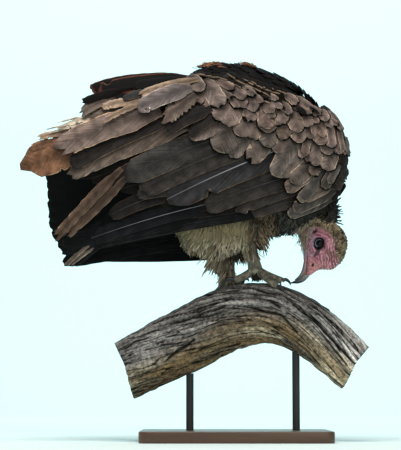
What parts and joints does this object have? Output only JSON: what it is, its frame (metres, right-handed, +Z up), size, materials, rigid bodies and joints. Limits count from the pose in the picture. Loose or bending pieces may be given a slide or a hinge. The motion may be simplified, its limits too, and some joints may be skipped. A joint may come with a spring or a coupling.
{
  "type": "hooded vulture",
  "caption": "Hooded vulture, life size, bent down to look at its feet, gripping a cut length of branch on a plain display stand.",
  "frame": {"origin": "middle of the stand's base, on its underside", "axes": "+X the way the bird faces, +Y the bird's left, +Z up"},
  "size_m": [0.5518, 0.2035, 0.6063],
  "materials": {
    "covert_feathers": "matt brown contour feathers with paler worn edges",
    "scapular_feathers": "matt brown feathers with tan, frayed ends",
    "flight_feathers": "blackish brown vanes with a faint sheen and pale shafts",
    "body_feathers": "matt dark brown body feathers",
    "thigh_feathers": "loose cream down",
    "hood": "bare pink wrinkled face under a hood of short buff down",
    "eye": "wet and glossy, dark brown",
    "horn": "grey-brown horn, black at the tip",
    "leg_skin": "grey-olive scaly skin",
    "claw": "black, semi-gloss",
    "branch": "weathered grey dead wood with long cracks",
    "stand_base": "dark stained and oiled",
    "stand_rod": "matt black"
  },
  "bodies": {
    "root": {"wing_right_coverts": "covert_feathers", "wing_right_scapulars": "scapular_feathers", "wing_right_secondaries": "flight_feathers", "wing_right_primaries": "flight_feathers", "wing_left_coverts": "covert_feathers", "wing_left_scapulars": "scapular_feathers", "wing_left_secondaries": "flight_feathers", "wing_left_primaries": "flight_feathers", "wing_left_scapulars_raised": "scapular_feathers", "tail": "flight_feathers", "trunk": "body_feathers", "neck": "body_feathers", "head": "hood", "eye_right": "eye", "eye_left": "eye", "bill_upper": "horn", "bill_lower": "horn", "thigh_right": "thigh_feathers", "thigh_left": "thigh_feathers", "tarsus_right": "leg_skin", "tarsus_left": "leg_skin", "foot_right": "leg_skin", "foot_left": "leg_skin", "claw_right_middle": "claw", "claw_right_inner": "claw", "claw_right_outer": "claw", "claw_right_hind": "claw", "claw_left_middle": "claw", "claw_left_inner": "claw", "claw_left_outer": "claw", "claw_left_hind": "claw", "perch_branch": "branch", "stand_base": "stand_base", "stand_rod_rear": "stand_rod", "stand_rod_front": "stand_rod"}
  },
  "joints": []
}
